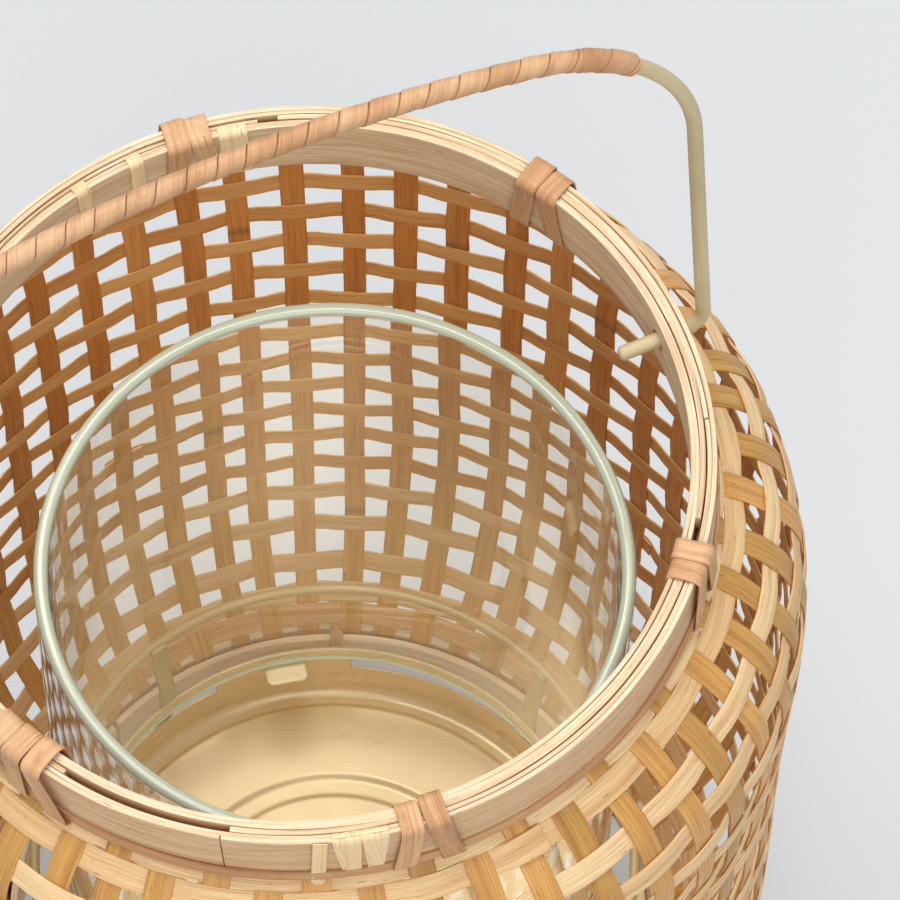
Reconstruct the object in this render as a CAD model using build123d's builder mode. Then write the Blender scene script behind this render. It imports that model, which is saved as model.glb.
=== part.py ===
from build123d import *
from math import atan2, cos, degrees, pi, radians, sin
import os

# A woven bamboo candle lantern with a wire bail, a pressed steel insert and a glass cylinder.
# Millimetres. The origin is the centre of the underside of the foot, +Z up. The insert and the
# glass stand on the Z axis, and the woven wall leans a little towards -X as it rises.
# Azimuths are in degrees from +X towards +Y.

# Woven wall
RIM_HEIGHT = 300.0          # centre of the top of the rim above the ground
LEAN_OFFSET = 8.5           # sideways shift of the rim's centre
STAKE_COUNT = 52
STAKE_PITCH = 360.0 / STAKE_COUNT
STAKE_START = 88.8          # azimuth of the first stake
STAKE_WIDTH = 6.5
STAKE_THICKNESS = 1.0
STAKE_TOP = 293.0           # height where the stakes end, inside the rim
STAKE_SPANS = 40            # of each outline's curved stretch
STAKE_CROWDING = 0.8        # how far the spans shorten towards its two tight bends
BEND = 3.0                  # radius of the wall's middle where it leaves the hoops
FOOT_SLOPE = 45.0           # outward from upright, just above the foot
RIM_SLOPE = 52.0            # inward from upright, just below the rim
WEAVER_WIDTH = 6.5
WEAVER_THICKNESS = 1.0
WEAVER_OFFSET = 1.35        # middle of a weaver outside the middle of the stakes
TOP_WEAVER_DROP = 5.3       # middle of the top weaver below the rim's lower edge
TOP_WEAVER_WIDTH = 3.6
# Steps down the wall from each weaver to the next
WEAVER_STEPS = [5.1] + [13.6] * 6 + [14.7] * 11 + [10.2, 6.6]

# Rim and foot hoops
RIM_OUTER = 100.0
RIM_INNER = 93.7
RIM_DEPTH = 19.3
RIM_HOOP = 2.4              # thickness of one hoop
CAP = 1.0                   # strips laid on top of the hoops
FILLER_DEPTH = 5.6
FOOT_OUTER = 95.8
FOOT_INNER = 90.2
FOOT_DEPTH = 19.0
FOOT_HOOP = 2.1
RUNNER_HEIGHT = 3.8
RUNNER_THICKNESS = 1.0
NOTCH_DEPTH = 1.3           # in the foot hoops, so that the ties clear the ground

# Ties round the hoops, centred in the gaps between stakes, counted from the first stake
TIE_THICKNESS = 0.8
TIE_GAP = 0.25
RIM_TIE_WIDTH = 4.6
FOOT_TIE_WIDTH = 3.6
RIM_TIE_GAPS = ((2, 3), (-6, -5), (-16, -15), (-24, -23), (-33, -32, -31), (11, 12))
FOOT_TIE_GAPS = (0, 8, 17, 26, 34, 43)

# Wire bail
WIRE_RADIUS = 1.9
PIVOT_AZIMUTH = 24.9
PIVOT_DEPTH = 9.0           # below the top of the rim
PIVOT_HOLE = 3.0            # radius, loose on the wire
BAIL_LEAN = 3.6             # the bail stands leaning back by this angle
BAIL_HALF_SPAN = 106.1
BAIL_LEG = 83.5             # height of the straight part of each leg
BAIL_CREST = 140.0
BAIL_CORNER = 50.0          # radius
BAIL_ELBOW = 6.0            # radius
HOOK_END = 83.5             # the wire's ends, inside the rim
HOOK_ROUNDING = 1.2
GRIP_RADIUS = 2.5
BAND_RADIUS = 2.8
GRIP_START = 45.0           # along the corner arc, where the winding starts
BAND_ARC = 16.0
SLIP = 0.05                 # between the wire and what is wound on it

# Glass
GLASS_RADIUS = 75.0
GLASS_WALL = 3.6
GLASS_FOOT = 39.2
GLASS_HEIGHT = 206.0
GLASS_ROUNDING = 1.5

# Sheet-metal insert
SHEET = 0.8
PAN_RADIUS = 77.0
PAN_FLOOR = 12.0
PAN_GROOVE = 10.6
PAN_TOP = 41.5
PAN_BEAD = 0.7              # bend radius of the embossed steps
PAN_CORNER = 3.0
INNER_GROOVE = (41.3, 48.5)         # radii of its two edges
OUTER_GROOVE = 70.0
GROOVE_SLOPE = 1.4
WINDOW_BOTTOM = 25.0
WINDOW_TOP = 37.5
WINDOW_ARC = 60.0
TAB_AZIMUTH = 104.0         # one of four, a quarter turn apart
TAB_WIDTH = 12.0
TAB_INNER = 66.0
TAB_ROUNDING = 2.0
GUARD_RADIUS = 82.9
GUARD_WIRE = 1.5            # radius
GUARD_HEIGHT = 67.9
POST_AZIMUTHS = (45.0, 132.0, 225.0, 312.0)
POST_WIDTH = 5.0
POST_THICKNESS = 1.45
POST_FOOT = 13.5
POST_BEND = (50.5, 61.5)    # heights of the joggle out to the guard ring
POST_TOP = 70.5
BAR_WIDTH = 12.0
BAR_THICKNESS = 1.5
BAR_REACH = 89.9
BAR_FOOT = 2.0
NAIL_GAPS = (1, 14)         # stake gaps in line with the two bars, and opposite
NAIL_HEIGHT = 5.0
NAIL_RADIUS = 0.7
NAIL_HEAD = 1.6
NAIL_HEAD_THICKNESS = 0.6
NAIL_CLEARANCE = 0.05

os.makedirs("parts", exist_ok=True)


def save(part, label):
    """Name a finished piece and write it."""
    part.label = label
    export_step(part, f"parts/{label}.step")


# Places

def level(height):
    """The plane across the leaning basket at a height of its axis, which is a parabola."""
    share = height / RIM_HEIGHT
    tilt = atan2(2 * LEAN_OFFSET * share, RIM_HEIGHT)
    return Plane(
        origin=(-LEAN_OFFSET * share**2, 0, height),
        x_dir=(cos(tilt), 0, sin(tilt)),
        z_dir=(-sin(tilt), 0, cos(tilt)),
    )


def leaned(radius, azimuth, height):
    """The place of a point that the upright basket has at this radius and height."""
    x = radius * cos(radians(azimuth))
    y = radius * sin(radians(azimuth))
    return level(height).from_local_coords(Vector(x, y, 0))


def outward(base, azimuth):
    """The direction away from a base plane's axis."""
    turn = radians(azimuth)
    return base.x_dir * cos(turn) + base.y_dir * sin(turn)


def radial_plane(base, azimuth):
    """The plane through a base plane's axis: x outward, y along the axis."""
    direction = outward(base, azimuth)
    return Plane(origin=base.origin, x_dir=direction, z_dir=direction.cross(base.z_dir))


def facing_plane(base, azimuth, depth):
    """A plane on a base plane's axis that faces outward, at a depth below the base."""
    return Plane(
        origin=base.origin - base.z_dir * depth,
        x_dir=base.z_dir,
        z_dir=outward(base, azimuth),
    )


def gap_azimuth(gap):
    """Azimuth of a gap between two stakes."""
    return STAKE_START + (gap + 0.5) * STAKE_PITCH


ground = Plane.XY
rim = level(RIM_HEIGHT)
pivot_plane = facing_plane(rim, PIVOT_AZIMUTH, PIVOT_DEPTH)
rim_slot = (RIM_OUTER + RIM_INNER) / 2
foot_slot = (FOOT_OUTER + FOOT_INNER) / 2

# Middle of the stakes' thickness in the upright basket: out of the foot hoops at 45 degrees,
# up the round wall and over a tight shoulder into the rim.
under_rim = RIM_HEIGHT - RIM_DEPTH - 0.1
with BuildLine(Plane.XZ) as wall_line:
    in_foot = Line((foot_slot, 0.5), (foot_slot, FOOT_DEPTH + 0.2))
    foot_bend = CenterArc((foot_slot + BEND, FOOT_DEPTH + 0.2), BEND, 180, -FOOT_SLOPE)
    rim_bend = CenterArc((rim_slot + BEND, under_rim), BEND, 180 + RIM_SLOPE, -RIM_SLOPE)
    side = Spline(
        foot_bend @ 1,
        (106.6, 37.5),
        (115.8, 70.0),
        (118.0, 125.0),
        (121.0, 215.0),
        (118.4, 255.0),
        (108.0, 270.2),
        rim_bend @ 0,
        tangents=[foot_bend % 1, rim_bend % 0],
        tangent_scalars=[0.5, 0.5],
    )
    in_rim = Line(rim_bend @ 1, (rim_slot, STAKE_TOP))
wall = wall_line.wire()
rim_edge = wall.length - in_rim.length


def wall_point(distance, offset=0.0):
    """Radius and height at a distance along the wall from the foot, moved outward."""
    point = wall.position_at(distance, position_mode=PositionMode.LENGTH)
    tangent = wall.tangent_at(distance, position_mode=PositionMode.LENGTH)
    return point.X + offset * tangent.Z, point.Z - offset * tangent.X


# Shapes used more than once

def hoop(base, inner, outer, low, high, label, pivot_hole=False, notches=(), nails=()):
    """A flat-sided hoop, with what is cut through it."""
    with BuildPart() as part:
        with BuildSketch(base.offset(low)):
            Circle(outer)
            Circle(inner, mode=Mode.SUBTRACT)
        extrude(amount=high - low)
        if pivot_hole:
            with BuildSketch(pivot_plane):
                Circle(PIVOT_HOLE)
            extrude(amount=outer + 1, both=True, mode=Mode.SUBTRACT)
        for azimuth in notches:
            with BuildSketch(radial_plane(base, azimuth)):
                with Locations(((inner + outer) / 2, low)):
                    Rectangle(outer - inner + 1, 2 * NOTCH_DEPTH)
            extrude(amount=FOOT_TIE_WIDTH / 2 + 0.5, both=True, mode=Mode.SUBTRACT)
        for azimuth in nails:
            with BuildSketch(facing_plane(base, azimuth, -NAIL_HEIGHT)):
                Circle(NAIL_RADIUS + NAIL_CLEARANCE)
            extrude(amount=outer + 1, mode=Mode.SUBTRACT)
    save(part.part, label)


def ties(base, inner, outer, low, high, width, azimuths, label):
    """Closed loops of flat strip round a pair of hoops."""
    middle = ((inner + outer) / 2, (low + high) / 2)
    with BuildPart() as part:
        for azimuth in azimuths:
            with BuildSketch(radial_plane(base, azimuth)):
                with Locations(middle):
                    RectangleRounded(
                        outer - inner + 2 * TIE_THICKNESS,
                        high - low + 2 * TIE_THICKNESS,
                        TIE_THICKNESS + 0.4,
                    )
                    RectangleRounded(outer - inner, high - low, 0.4, mode=Mode.SUBTRACT)
            extrude(amount=width / 2, both=True)
    save(part.part, label)


def weaver(distance, width, label):
    """A flat strip round the outside of the stakes."""
    base = level(wall_point(distance)[1])
    radius, height = wall_point(distance, WEAVER_OFFSET)
    tangent = wall.tangent_at(distance, position_mode=PositionMode.LENGTH)
    slope = degrees(atan2(tangent.Z, tangent.X))
    with BuildPart() as part:
        with BuildSketch(radial_plane(base, 0)):
            with Locations((radius, height - base.origin.Z)):
                Rectangle(width, WEAVER_THICKNESS, rotation=slope)
        revolve(axis=Axis(base.origin, base.z_dir))
    save(part.part, label)


def stakes(first, label):
    """Every other upright stake, each bent to the wall's outline."""
    half = STAKE_THICKNESS / 2
    turns = [2 * pi * i / STAKE_SPANS for i in range(STAKE_SPANS + 1)]
    shares = [(turn - STAKE_CROWDING * sin(turn)) / (2 * pi) for turn in turns]
    curved = [in_foot.length + (rim_edge - in_foot.length) * share for share in shares]
    steps = [0, *curved, wall.length]
    with BuildPart() as part:
        for index in range(first, STAKE_COUNT, 2):
            azimuth = STAKE_START + index * STAKE_PITCH
            radius, height = wall_point(0)
            start = leaned(radius, azimuth, height)
            radius, height = wall_point(wall.length)
            end = leaned(radius, azimuth, height)
            direction = outward(ground, azimuth)
            own = Plane(origin=start, x_dir=direction, z_dir=direction.cross(end - start))
            with BuildSketch(own):
                with BuildLine():
                    ends = []
                    for offset in (half, -half):
                        outline = []
                        for step in steps:
                            radius, height = wall_point(step, offset)
                            place = own.to_local_coords(leaned(radius, azimuth, height))
                            outline.append(Vector(place.X, place.Y))
                        Line(outline[0], outline[1])
                        Spline(*outline[1:-1])
                        Line(outline[-2], outline[-1])
                        ends += [outline[0], outline[-1]]
                    Line(ends[0], ends[2])
                    Line(ends[1], ends[3])
                make_face()
            extrude(amount=STAKE_WIDTH / 2, both=True)
        with BuildSketch(pivot_plane):
            Circle(PIVOT_HOLE)
        extrude(amount=RIM_OUTER, both=True, mode=Mode.SUBTRACT)
    save(part.part, label)


# Woven wall

stakes(0, "stakes_even")
stakes(1, "stakes_odd")

distance = rim_edge - TOP_WEAVER_DROP
weaver(distance, TOP_WEAVER_WIDTH, f"weaver_{len(WEAVER_STEPS) + 1:02d}")
for number, step in zip(range(len(WEAVER_STEPS), 0, -1), WEAVER_STEPS):
    distance -= step
    weaver(distance, WEAVER_WIDTH, f"weaver_{number:02d}")

# Foot

foot_ties = [gap_azimuth(gap) for gap in FOOT_TIE_GAPS]
bar_azimuths = [gap_azimuth(gap) for gap in NAIL_GAPS]
nail_azimuths = bar_azimuths + [azimuth + 180 for azimuth in bar_azimuths]
hoop(ground, FOOT_INNER, FOOT_INNER + FOOT_HOOP, 0, FOOT_DEPTH, "foot_inner_hoop",
     notches=foot_ties, nails=nail_azimuths)
hoop(ground, FOOT_OUTER - FOOT_HOOP, FOOT_OUTER, 0, FOOT_DEPTH, "foot_outer_hoop",
     notches=foot_ties, nails=nail_azimuths)
ties(ground, FOOT_INNER - TIE_GAP, FOOT_OUTER + TIE_GAP, NOTCH_DEPTH - TIE_GAP,
     FOOT_DEPTH + TIE_GAP, FOOT_TIE_WIDTH, foot_ties, "foot_ties")

# Rim

under_caps = -CAP
hoop(rim, RIM_INNER, RIM_INNER + RIM_HOOP, -RIM_DEPTH, under_caps, "rim_inner_hoop", True)
hoop(rim, RIM_OUTER - RIM_HOOP, RIM_OUTER, -RIM_DEPTH, under_caps, "rim_outer_hoop", True)
hoop(rim, RIM_INNER, RIM_INNER + RIM_HOOP, under_caps, 0, "rim_inner_cap")
hoop(rim, RIM_OUTER - RIM_HOOP, RIM_OUTER, under_caps, 0, "rim_outer_cap")
hoop(rim, RIM_INNER + RIM_HOOP + 0.1, RIM_OUTER - RIM_HOOP - 0.1, -FILLER_DEPTH, -0.3,
     "rim_filler")
runner_inner = RIM_OUTER + 0.1
hoop(rim, runner_inner, runner_inner + RUNNER_THICKNESS, -RIM_DEPTH,
     RUNNER_HEIGHT - RIM_DEPTH, "rim_runner")
for number, gaps in enumerate(RIM_TIE_GAPS, start=1):
    ties(rim, RIM_INNER - TIE_GAP, runner_inner + RUNNER_THICKNESS + TIE_GAP,
         -RIM_DEPTH - TIE_GAP, TIE_GAP, RIM_TIE_WIDTH,
         [gap_azimuth(gap) for gap in gaps], f"rim_ties_{number}")

# Sheet-metal insert: a pan with two embossed grooves, windows in its wall and tabs for the glass

groove_in, groove_out = INNER_GROOVE
wall_radius = PAN_RADIUS - SHEET
with BuildPart() as pan:
    with BuildSketch(Plane.XZ):
        with BuildLine():
            upper = FilletPolyline(
                (0, PAN_FLOOR),
                (groove_in, PAN_FLOOR),
                (groove_in + GROOVE_SLOPE, PAN_GROOVE),
                (groove_out - GROOVE_SLOPE, PAN_GROOVE),
                (groove_out, PAN_FLOOR),
                (OUTER_GROOVE, PAN_FLOOR),
                (OUTER_GROOVE + GROOVE_SLOPE, PAN_GROOVE),
                (wall_radius, PAN_GROOVE),
                (wall_radius, PAN_TOP),
                radius=[PAN_BEAD] * 6 + [PAN_CORNER],
            )
            lower = FilletPolyline(
                (0, PAN_FLOOR - SHEET),
                (groove_in, PAN_FLOOR - SHEET),
                (groove_in + GROOVE_SLOPE, PAN_GROOVE - SHEET),
                (groove_out - GROOVE_SLOPE, PAN_GROOVE - SHEET),
                (groove_out, PAN_FLOOR - SHEET),
                (OUTER_GROOVE, PAN_FLOOR - SHEET),
                (OUTER_GROOVE + GROOVE_SLOPE, PAN_GROOVE - SHEET),
                (PAN_RADIUS, PAN_GROOVE - SHEET),
                (PAN_RADIUS, PAN_TOP),
                radius=[PAN_BEAD] * 6 + [PAN_CORNER + SHEET],
            )
            Line(upper @ 0, lower @ 0)
            Line(upper @ 1, lower @ 1)
        make_face()
    revolve(axis=Axis.Z)
    for quarter in range(4):
        window_start = TAB_AZIMUTH + 45 + quarter * 90 - WINDOW_ARC / 2
        with BuildSketch(radial_plane(ground, window_start)):
            with Locations((wall_radius, (WINDOW_BOTTOM + WINDOW_TOP) / 2)):
                Rectangle(4, WINDOW_TOP - WINDOW_BOTTOM)
        revolve(axis=Axis.Z, revolution_arc=WINDOW_ARC, mode=Mode.SUBTRACT)
    tab_outer = PAN_RADIUS - SHEET / 2
    with BuildSketch(ground.offset(GLASS_FOOT - SHEET)):
        with PolarLocations((TAB_INNER + tab_outer) / 2, 4, start_angle=TAB_AZIMUTH):
            RectangleRounded(tab_outer - TAB_INNER, TAB_WIDTH, TAB_ROUNDING)
    extrude(amount=SHEET)
save(pan.part, "pan")

bar_top = PAN_GROOVE - SHEET
for azimuth, label in zip(bar_azimuths, ("cross_bar_upper", "cross_bar_lower")):
    with BuildPart() as cross_bar:
        with BuildSketch(radial_plane(ground, azimuth)):
            with BuildLine():
                Polyline(
                    (-BAR_REACH, BAR_FOOT),
                    (-BAR_REACH, bar_top),
                    (BAR_REACH, bar_top),
                    (BAR_REACH, BAR_FOOT),
                    (BAR_REACH - BAR_THICKNESS, BAR_FOOT),
                    (BAR_REACH - BAR_THICKNESS, bar_top - BAR_THICKNESS),
                    (BAR_THICKNESS - BAR_REACH, bar_top - BAR_THICKNESS),
                    (BAR_THICKNESS - BAR_REACH, BAR_FOOT),
                    close=True,
                )
            make_face()
        extrude(amount=BAR_WIDTH / 2, both=True)
        with BuildSketch(facing_plane(ground, azimuth, -NAIL_HEIGHT)):
            Circle(NAIL_RADIUS + NAIL_CLEARANCE)
        extrude(amount=BAR_REACH + 1, both=True, mode=Mode.SUBTRACT)
    save(cross_bar.part, label)
    bar_top -= BAR_THICKNESS

with BuildPart() as hoop_nails:
    for azimuth in nail_azimuths:
        nail_plane = facing_plane(ground, azimuth, -NAIL_HEIGHT)
        nail_start = BAR_REACH - BAR_THICKNESS - 1
        with BuildSketch(nail_plane.offset(nail_start)):
            Circle(NAIL_RADIUS)
        extrude(amount=FOOT_OUTER + 0.1 - nail_start)
        with BuildSketch(nail_plane.offset(FOOT_OUTER + 0.1)):
            Circle(NAIL_HEAD)
        extrude(amount=NAIL_HEAD_THICKNESS)
save(hoop_nails.part, "hoop_nails")

post_inner = PAN_RADIUS + 0.05
post_outer = GUARD_RADIUS - GUARD_WIRE - 0.05
with BuildPart() as guard_posts:
    for azimuth in POST_AZIMUTHS:
        with BuildSketch(radial_plane(ground, azimuth)):
            with BuildLine():
                Polyline(
                    (post_inner, POST_FOOT),
                    (post_inner, POST_BEND[0]),
                    (post_outer - POST_THICKNESS, POST_BEND[1]),
                    (post_outer - POST_THICKNESS, POST_TOP),
                    (post_outer, POST_TOP),
                    (post_outer, POST_BEND[1]),
                    (post_inner + POST_THICKNESS, POST_BEND[0]),
                    (post_inner + POST_THICKNESS, POST_FOOT),
                    close=True,
                )
            make_face()
        extrude(amount=POST_WIDTH / 2, both=True)
save(guard_posts.part, "guard_posts")

with BuildPart() as guard_ring:
    with BuildSketch(Plane.XZ):
        with Locations((GUARD_RADIUS, GUARD_HEIGHT)):
            Circle(GUARD_WIRE)
    revolve(axis=Axis.Z)
save(guard_ring.part, "guard_ring")

# Glass

with BuildPart() as glass_cylinder:
    with BuildSketch(ground.offset(GLASS_FOOT)):
        Circle(GLASS_RADIUS)
        Circle(GLASS_RADIUS - GLASS_WALL, mode=Mode.SUBTRACT)
    extrude(amount=GLASS_HEIGHT)
    fillet(glass_cylinder.edges().filter_by(GeomType.CIRCLE), GLASS_ROUNDING)
save(glass_cylinder.part, "glass_cylinder")

# Bail: one plane through both pivot holes, x along the pivot axis, y up the bail

pivot_axis = outward(rim, PIVOT_AZIMUTH)
backward = outward(rim, PIVOT_AZIMUTH + 90)
lean = radians(BAIL_LEAN)
bail_up = rim.z_dir * cos(lean) + backward * sin(lean)
bail = Plane(
    origin=rim.origin - rim.z_dir * PIVOT_DEPTH,
    x_dir=pivot_axis,
    z_dir=pivot_axis.cross(bail_up),
)

# The top of the bail is one arc, tangent to both corner arcs.
corner_x = BAIL_HALF_SPAN - BAIL_CORNER
corner_drop = BAIL_CREST - BAIL_LEG
top_radius = (corner_x**2 + corner_drop**2 - BAIL_CORNER**2) / (2 * (corner_drop - BAIL_CORNER))
top_centre = BAIL_CREST - top_radius
corner_arc = degrees(atan2(BAIL_LEG - top_centre, corner_x))
elbow_x = BAIL_HALF_SPAN - BAIL_ELBOW

with BuildPart() as bail_wire:
    with BuildLine(bail) as bail_line:
        Line((HOOK_END, 0), (elbow_x, 0))
        CenterArc((elbow_x, BAIL_ELBOW), BAIL_ELBOW, -90, 90)
        Line((BAIL_HALF_SPAN, BAIL_ELBOW), (BAIL_HALF_SPAN, BAIL_LEG))
        CenterArc((corner_x, BAIL_LEG), BAIL_CORNER, 0, corner_arc)
        CenterArc((0, top_centre), top_radius, corner_arc, 180 - 2 * corner_arc)
        CenterArc((-corner_x, BAIL_LEG), BAIL_CORNER, 180 - corner_arc, corner_arc)
        Line((-BAIL_HALF_SPAN, BAIL_LEG), (-BAIL_HALF_SPAN, BAIL_ELBOW))
        CenterArc((-elbow_x, BAIL_ELBOW), BAIL_ELBOW, 180, 90)
        Line((-elbow_x, 0), (-HOOK_END, 0))
    with BuildSketch(Plane(origin=bail.from_local_coords((HOOK_END, 0, 0)), z_dir=pivot_axis)):
        Circle(WIRE_RADIUS)
    sweep(path=bail_line.wire())
    tips = bail_wire.faces().filter_by(GeomType.PLANE).edges()
    fillet(tips, HOOK_ROUNDING)
save(bail_wire.part, "bail_wire")


def winding(path_arcs, radius, label):
    """A sleeve round the wire, along arcs of the bail given as for CenterArc."""
    with BuildPart() as part:
        with BuildLine(bail) as path:
            for centre, arc_radius, start, size in path_arcs:
                CenterArc(centre, arc_radius, start, size)
        with BuildSketch(Plane(origin=path.wire() @ 0, z_dir=path.wire() % 0)):
            Circle(radius)
            Circle(WIRE_RADIUS + SLIP, mode=Mode.SUBTRACT)
        sweep(path=path.wire())
    save(part.part, label)


right = (corner_x, BAIL_LEG)
left = (-corner_x, BAIL_LEG)
grip_edge = GRIP_START + BAND_ARC
winding([(right, BAIL_CORNER, GRIP_START, BAND_ARC)], BAND_RADIUS, "grip_band_right")
winding([(left, BAIL_CORNER, 180 - grip_edge, BAND_ARC)], BAND_RADIUS, "grip_band_left")
winding(
    [
        (right, BAIL_CORNER, grip_edge, corner_arc - grip_edge),
        ((0, top_centre), top_radius, corner_arc, 180 - 2 * corner_arc),
        (left, BAIL_CORNER, 180 - corner_arc, corner_arc - grip_edge),
    ],
    GRIP_RADIUS,
    "grip_winding",
)

wire_length = bail_line.wire().length
print(f"wall {wall.length:.1f} mm, bail wire {wire_length:.1f} mm")
print(f"bail wire volume {bail_wire.part.volume:.0f}, expected {pi * WIRE_RADIUS**2 * wire_length:.0f}")
print("pivot", bail.origin, "axis", pivot_axis)
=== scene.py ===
import math

import bmesh
import bpy
import numpy as np
from mathutils import Matrix, Vector


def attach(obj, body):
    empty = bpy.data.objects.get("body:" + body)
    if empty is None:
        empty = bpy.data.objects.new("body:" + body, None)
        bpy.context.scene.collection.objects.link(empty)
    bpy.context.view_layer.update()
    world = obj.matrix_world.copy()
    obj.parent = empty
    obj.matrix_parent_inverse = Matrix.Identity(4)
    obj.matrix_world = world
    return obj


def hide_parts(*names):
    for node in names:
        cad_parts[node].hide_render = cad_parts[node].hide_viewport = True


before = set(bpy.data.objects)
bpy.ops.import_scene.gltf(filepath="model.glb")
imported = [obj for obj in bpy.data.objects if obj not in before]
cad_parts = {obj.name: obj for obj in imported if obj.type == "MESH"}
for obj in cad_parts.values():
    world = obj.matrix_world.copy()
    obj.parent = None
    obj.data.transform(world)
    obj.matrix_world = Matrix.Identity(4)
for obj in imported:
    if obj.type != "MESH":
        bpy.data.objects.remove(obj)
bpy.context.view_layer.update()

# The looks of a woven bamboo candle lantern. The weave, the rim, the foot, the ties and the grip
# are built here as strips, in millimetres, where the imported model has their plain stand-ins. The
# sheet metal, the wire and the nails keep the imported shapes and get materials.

MM = 0.001
chance = np.random.default_rng(11)

# Woven wall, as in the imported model
RIM_HEIGHT = 300.0
LEAN_OFFSET = 8.5
STAKE_COUNT = 52
STAKE_PITCH = 360.0 / STAKE_COUNT
STAKE_START = 88.8
STAKE_WIDTH = 6.5
STAKE_THICKNESS = 0.62
STAKE_TWIST = 2.4  # degrees that a stake turns from the rim down to the foot
STAKE_TOP = 293.0
WEAVER_WIDTH = 6.5
WEAVER_THICKNESS = 0.62
WEAVER_STEPS = [5.1] + [13.6] * 6 + [14.7] * 11 + [10.2, 6.6]
TOP_WEAVER_DROP = 5.3
TOP_WEAVER_WIDTH = 3.6
PALE_WEAVERS = 5  # the lowest weavers, whose inner sides are painted paler: painted light from above
WEAVE_MIDDLE = 0.45  # of the weave, outside the line of the wall
STAKE_WAVE = 0.28  # how far a stake bends out over a weaver and in under the next
WEAVER_WAVE = 0.4  # the same for a weaver, at the stakes
BEND = 3.0  # radius of the wall's bends at the foot and at the rim
FOOT_SLOPE = 45.0
RIM_SLOPE = 52.0
WALL_POINTS = ((106.6, 37.5), (115.8, 70.0), (118.0, 125.0), (121.0, 215.0), (118.4, 255.0),
               (108.0, 270.2))  # radius and height between the two bends

# Rim and foot
RIM_INNER = 93.7
RIM_OUTER = 100.0
RIM_DEPTH = 19.3
UNDER_RIM = RIM_HEIGHT - RIM_DEPTH - 0.1
RIM_HOOP = 2.4
LAYER_GAP = 0.06  # between the two layers of a rim hoop
FILLER_DEPTH = 5.6
SLOT_PLAY = 0.1
FOOT_INNER = 90.2
FOOT_OUTER = 95.8
FOOT_DEPTH = 19.0
FOOT_HOOP = 2.1
RIM_TIE_GAPS = ((2, 3), (-6, -5), (-16, -15), (-24, -23), (-33, -32, -31), (11, 12))
FOOT_TIE_GAPS = (0, 8, 17, 26, 34, 43)

# Azimuths of the raffia: turns round the outer rim hoop, turns round the inner one, and the end
RAFFIA_TURNS = (-76.2, -78.2, -80.1, -82.0)
INNER_RAFFIA_TURNS = (104.0, 101.9, 118.4, 127.6)
RAFFIA_END = -84.6

# Bail, in its own plane: across along the pivot axis, and up from it
PIVOT_DROP = 9.0  # below the rim
PIVOT_AZIMUTH = 24.9
PIVOT_HOLE = 3.0  # radius
BAIL_LEAN = 3.6
BAIL_CREST = 140.0
CORNER_RADIUS = 50.0
CORNER_CENTRE = (56.1, 83.5)
GRIP_END = 61.0  # degrees round the corner, where the winding stops
BAND_END = 45.0  # and where the band that holds its end stops
GRIP_RADIUS = 2.45
GRIP_PITCH = 7.2
GRIP_LIP = 0.5
BAND_RADIUS = 2.7
BAND_PITCH = 8.0
BAND_LIP = 0.4

# Glass
GLASS_RADIUS = 75.0
GLASS_WALL = 3.6
GLASS_FOOT = 39.2
GLASS_HEIGHT = 206.0
GLASS_CORNER = 1.5

# Camera, in metres and degrees
CAMERA_PLACE = (0.0274, -0.6311, 1.5171)
CAMERA_DOWN = 62.417  # below the horizon
CAMERA_ROLL = 2.258
CAMERA_LENS = 228.45


# Places. Points are arrays of millimetres with three columns.

def level(height):
    """Origin, sideways and upward directions of the leaning basket at heights of its axis."""
    height = np.asarray(height, float)
    share = height / RIM_HEIGHT
    tilt = np.arctan2(2 * LEAN_OFFSET * share, RIM_HEIGHT)
    zero = np.zeros_like(height)
    origin = np.stack([-LEAN_OFFSET * share**2, zero, height], -1)
    sideways = np.stack([np.cos(tilt), zero, np.sin(tilt)], -1)
    upward = np.stack([-np.sin(tilt), zero, np.cos(tilt)], -1)
    return origin, sideways, upward


def leaned(radius, azimuth, height, rise=0.0):
    """Points at a radius and azimuth on the levels at some heights, raised along their axes."""
    origin, sideways, upward = level(height)
    turn = np.radians(np.asarray(azimuth, float))
    out = sideways * np.cos(turn)[..., None] + np.array([0, 1, 0]) * np.sin(turn)[..., None]
    radius = np.asarray(radius, float)[..., None]
    rise = np.asarray(rise, float)[..., None]
    return origin + out * radius + upward * rise


def clamped_spline(points, start, end, samples):
    """A smooth curve through points, with unit tangents given at both ends."""
    points = np.array(points, float)
    chords = np.linalg.norm(np.diff(points, axis=0), axis=1)
    knots = np.concatenate([[0], np.cumsum(chords)])
    count = len(points)
    matrix = np.eye(count)
    right = np.zeros((count, 2))
    right[0], right[-1] = start, end
    for i in range(1, count - 1):
        before, after = chords[i - 1], chords[i]
        matrix[i, i - 1:i + 2] = after, 2 * (before + after), before
        right[i] = 3 * (after * (points[i] - points[i - 1]) / before
                        + before * (points[i + 1] - points[i]) / after)
    slopes = np.linalg.solve(matrix, right)
    places = np.linspace(0, knots[-1], samples)
    i = np.clip(np.searchsorted(knots, places) - 1, 0, count - 2)
    size = chords[i][:, None]
    t = ((places - knots[i]) / chords[i])[:, None]
    return ((2 * t**3 - 3 * t**2 + 1) * points[i] + (t**3 - 2 * t**2 + t) * size * slopes[i]
            + (3 * t**2 - 2 * t**3) * points[i + 1] + (t**3 - t**2) * size * slopes[i + 1])


def bend(centre, start, end, samples=12):
    """An arc of the wall's bends, between two angles."""
    turn = np.radians(np.linspace(start, end, samples))
    return np.stack([centre[0] + BEND * np.cos(turn), centre[1] + BEND * np.sin(turn)], -1)


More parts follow.
